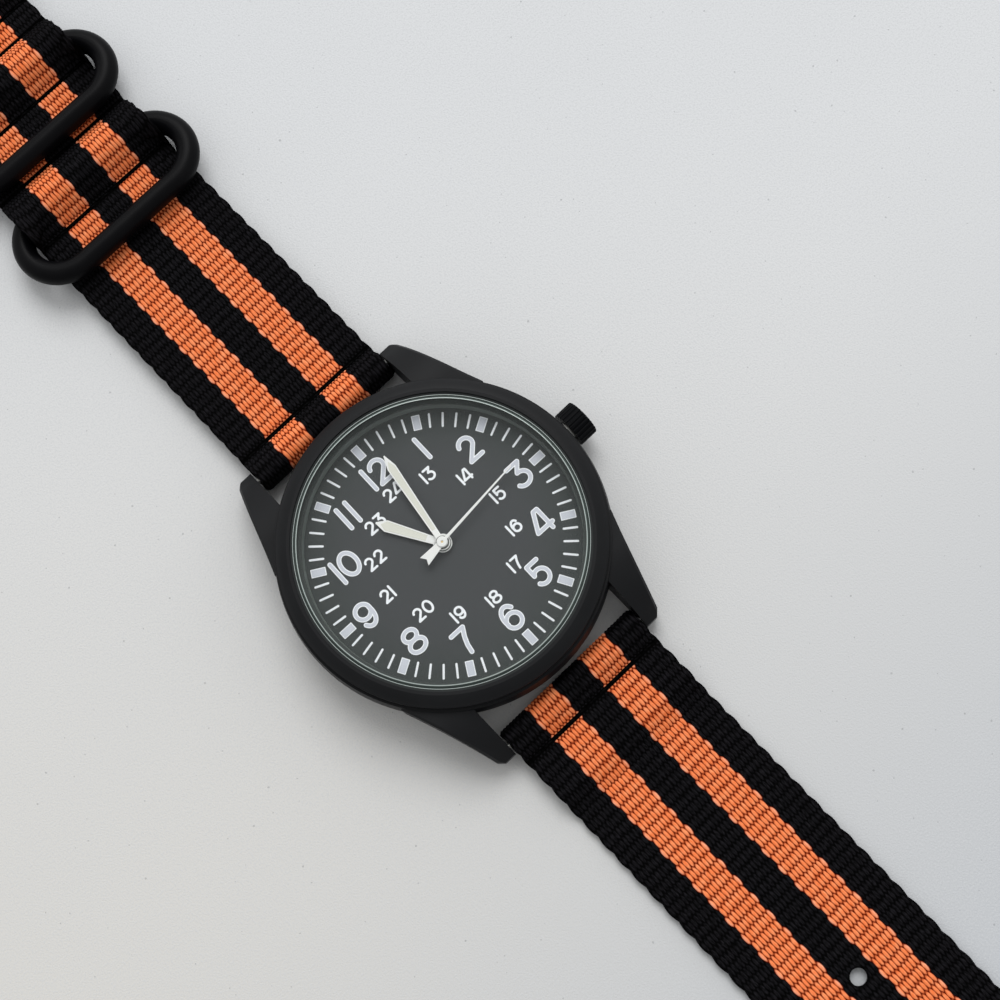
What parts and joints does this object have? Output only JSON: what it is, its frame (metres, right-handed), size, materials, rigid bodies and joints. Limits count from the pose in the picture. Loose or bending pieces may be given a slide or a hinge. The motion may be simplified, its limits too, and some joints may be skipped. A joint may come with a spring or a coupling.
{
  "type": "field watch",
  "caption": "Black field watch with a 24-hour dial on a striped nylon strap with wire keeper rings and a wire buckle, open and lying on its back.",
  "frame": {"origin": "centre of the case back's flat outer face, which lies on the table", "axes": "+Z out of the dial, +Y along the strap towards twelve o'clock and the buckle, +X towards the crown at three o'clock"},
  "size_m": [0.0443, 0.2548, 0.0093],
  "materials": {
    "case_black": "matte black coating, fine blasted grain",
    "back_steel": "turned steel",
    "gasket_black": "matte rubber",
    "crystal_glass": "clear flat glass, polished bevel",
    "gasket_pale": "pale grey-green nylon ring",
    "dial_grey": "matte dark grey print ground",
    "ring_grey": "matte dark grey",
    "hand_white": "white paint",
    "lume_cream": "cream luminous filling",
    "wire_black": "satin black coating",
    "webbing": "orange and black ribbed nylon",
    "lining": "black ribbed nylon",
    "brass": "plain brass",
    "steel": "plain steel",
    "holder_plastic": "moulded plastic",
    "board_green": "green board",
    "copper": "enamelled copper wire"
  },
  "bodies": {
    "case": {"case_middle": "case_black", "case_back": "back_steel", "case_back_gasket": "gasket_black", "crystal": "crystal_glass", "crystal_gasket": "gasket_pale", "dial": "dial_grey", "dial_ring": "ring_grey", "movement_holder": "holder_plastic", "main_plate": "brass", "train_bridge": "steel", "bridge_screws": "steel", "battery": "steel", "battery_contact": "brass", "battery_clamp": "steel", "clamp_screws": "steel", "circuit_board": "board_green", "quartz_crystal": "steel", "stator": "steel", "coil": "copper", "coil_core": "steel", "dial_washer": "brass", "crown_tube": "steel", "spring_bar_barrels": "steel", "spring_bar_springs": "steel"},
    "minute_arbor": {"minute_hand": "hand_white", "minute_lume": "lume_cream", "cannon_pinion": "steel", "centre_wheel": "brass"},
    "hour_arbor": {"hour_hand": "hand_white", "hour_lume": "lume_cream", "hour_wheel": "brass"},
    "second_arbor": {"second_hand": "hand_white", "fourth_wheel": "brass"},
    "third_arbor": {"third_wheel": "brass"},
    "fifth_arbor": {"fifth_wheel": "brass"},
    "rotor_arbor": {"rotor": "steel"},
    "minute_wheel_arbor": {"minute_wheel": "brass"},
    "setting_wheel_arbor": {"setting_wheel": "steel"},
    "clutch": {"clutch_wheel": "steel"},
    "crown_and_stem": {"crown": "case_black", "stem": "steel", "crown_gasket": "gasket_black"},
    "lever": {"setting_lever": "steel"},
    "long_strap": {"strap_long": "webbing"},
    "short_strap": {"strap_short": "webbing", "strap_lining": "lining"},
    "near_ring": {"keeper_ring_near": "wire_black"},
    "far_ring": {"keeper_ring_far": "wire_black"},
    "frame": {"buckle_frame": "wire_black"},
    "tongue": {"buckle_tongue": "wire_black"},
    "tip_six_left": {"bar_tip_six_left": "steel"},
    "tip_six_right": {"bar_tip_six_right": "steel"},
    "tip_twelve_left": {"bar_tip_twelve_left": "steel"},
    "tip_twelve_right": {"bar_tip_twelve_right": "steel"}
  },
  "joints": [
    {"name": "minute_turn", "type": "hinge", "parent": "case", "child": "minute_arbor", "pos_m": [0, 0, 0.0071], "axis": [0, 0, -1], "continuous": true},
    {"name": "hour_turn", "type": "hinge", "parent": "case", "child": "hour_arbor", "pos_m": [0, 0, 0.0067], "axis": [0, 0, -1], "continuous": true},
    {"name": "second_turn", "type": "hinge", "parent": "case", "child": "second_arbor", "pos_m": [0, 0, 0.0075], "axis": [0, 0, -1], "continuous": true},
    {"name": "third_turn", "type": "hinge", "parent": "case", "child": "third_arbor", "pos_m": [-0.00213, 0.00368, 0.0033], "axis": [0, 0, -1], "continuous": true},
    {"name": "fifth_turn", "type": "hinge", "parent": "case", "child": "fifth_arbor", "pos_m": [-0.00148, -0.00406, 0.0027], "axis": [0, 0, -1], "continuous": true},
    {"name": "rotor_turn", "type": "hinge", "parent": "case", "child": "rotor_arbor", "pos_m": [-0.00148, -0.00634, 0.0027], "axis": [0, 0, -1], "continuous": true},
    {"name": "minute_wheel_turn", "type": "hinge", "parent": "case", "child": "minute_wheel_arbor", "pos_m": [0.0026, 0, 0.0045], "axis": [0, 0, -1], "continuous": true},
    {"name": "setting_wheel_turn", "type": "hinge", "parent": "case", "child": "setting_wheel_arbor", "pos_m": [0.00617, 0, 0.0045], "axis": [0, 0, -1], "continuous": true},
    {"name": "crown_turn", "type": "hinge", "parent": "case", "child": "clutch", "pos_m": [0.0087, 0, 0.00375], "axis": [1, 0, 0], "continuous": true},
    {"name": "crown_pull", "type": "slide", "parent": "clutch", "child": "crown_and_stem", "axis": [1, 0, 0], "range_m": [0, 0.001]},
    {"name": "lever_turn", "type": "hinge", "parent": "case", "child": "lever", "pos_m": [0.0108, -0.003, 0.00266], "axis": [0, 0, 1], "range_deg": [-19.29, 0]},
    {"name": "long_strap_swing", "type": "hinge", "parent": "case", "child": "long_strap", "pos_m": [0, -0.0227, 0.0023], "axis": [-1, 0, 0], "range_deg": [-85, 100]},
    {"name": "short_strap_swing", "type": "hinge", "parent": "case", "child": "short_strap", "pos_m": [0, 0.0227, 0.0023], "axis": [1, 0, 0], "range_deg": [-85, 100]},
    {"name": "near_ring_lift", "type": "hinge", "parent": "short_strap", "child": "near_ring", "pos_m": [0, 0.0691, 0.00275], "axis": [-1, 0, 0], "range_deg": [0, 30]},
    {"name": "far_ring_lift", "type": "hinge", "parent": "short_strap", "child": "far_ring", "pos_m": [0, 0.0853, 0.00275], "axis": [-1, 0, 0], "range_deg": [0, 30]},
    {"name": "frame_swing", "type": "hinge", "parent": "short_strap", "child": "frame", "pos_m": [0, 0.098, 0.00275], "axis": [1, 0, 0], "range_deg": [-25, 60]},
    {"name": "tongue_swing", "type": "hinge", "parent": "frame", "child": "tongue", "pos_m": [0, 0.098, 0.00275], "axis": [1, 0, 0], "range_deg": [0, 75]},
    {"name": "tip_six_left_press", "type": "slide", "parent": "case", "child": "tip_six_left", "axis": [1, 0, 0], "range_m": [0, 0.0009], "stiffness_N_per_m": 800, "springref_m": -0.0006},
    {"name": "tip_six_right_press", "type": "slide", "parent": "case", "child": "tip_six_right", "axis": [-1, 0, 0], "range_m": [0, 0.0009], "stiffness_N_per_m": 800, "springref_m": -0.0006},
    {"name": "tip_twelve_left_press", "type": "slide", "parent": "case", "child": "tip_twelve_left", "axis": [1, 0, 0], "range_m": [0, 0.0009], "stiffness_N_per_m": 800, "springref_m": -0.0006},
    {"name": "tip_twelve_right_press", "type": "slide", "parent": "case", "child": "tip_twelve_right", "axis": [-1, 0, 0], "range_m": [0, 0.0009], "stiffness_N_per_m": 800, "springref_m": -0.0006}
  ],
  "couplings": [
    {"joint": "hour_turn", "follows": "minute_turn", "ratio": 0.083333},
    {"joint": "second_turn", "follows": "minute_turn", "ratio": 60},
    {"joint": "third_turn", "follows": "minute_turn", "ratio": -8},
    {"joint": "fifth_turn", "follows": "minute_turn", "ratio": -480},
    {"joint": "rotor_turn", "follows": "minute_turn", "ratio": 1800},
    {"joint": "minute_wheel_turn", "follows": "minute_turn", "ratio": -0.33333},
    {"joint": "setting_wheel_turn", "follows": "minute_turn", "ratio": 0.4},
    {"joint": "lever_turn", "follows": "crown_pull", "rad_per_m": -334.9}
  ]
}
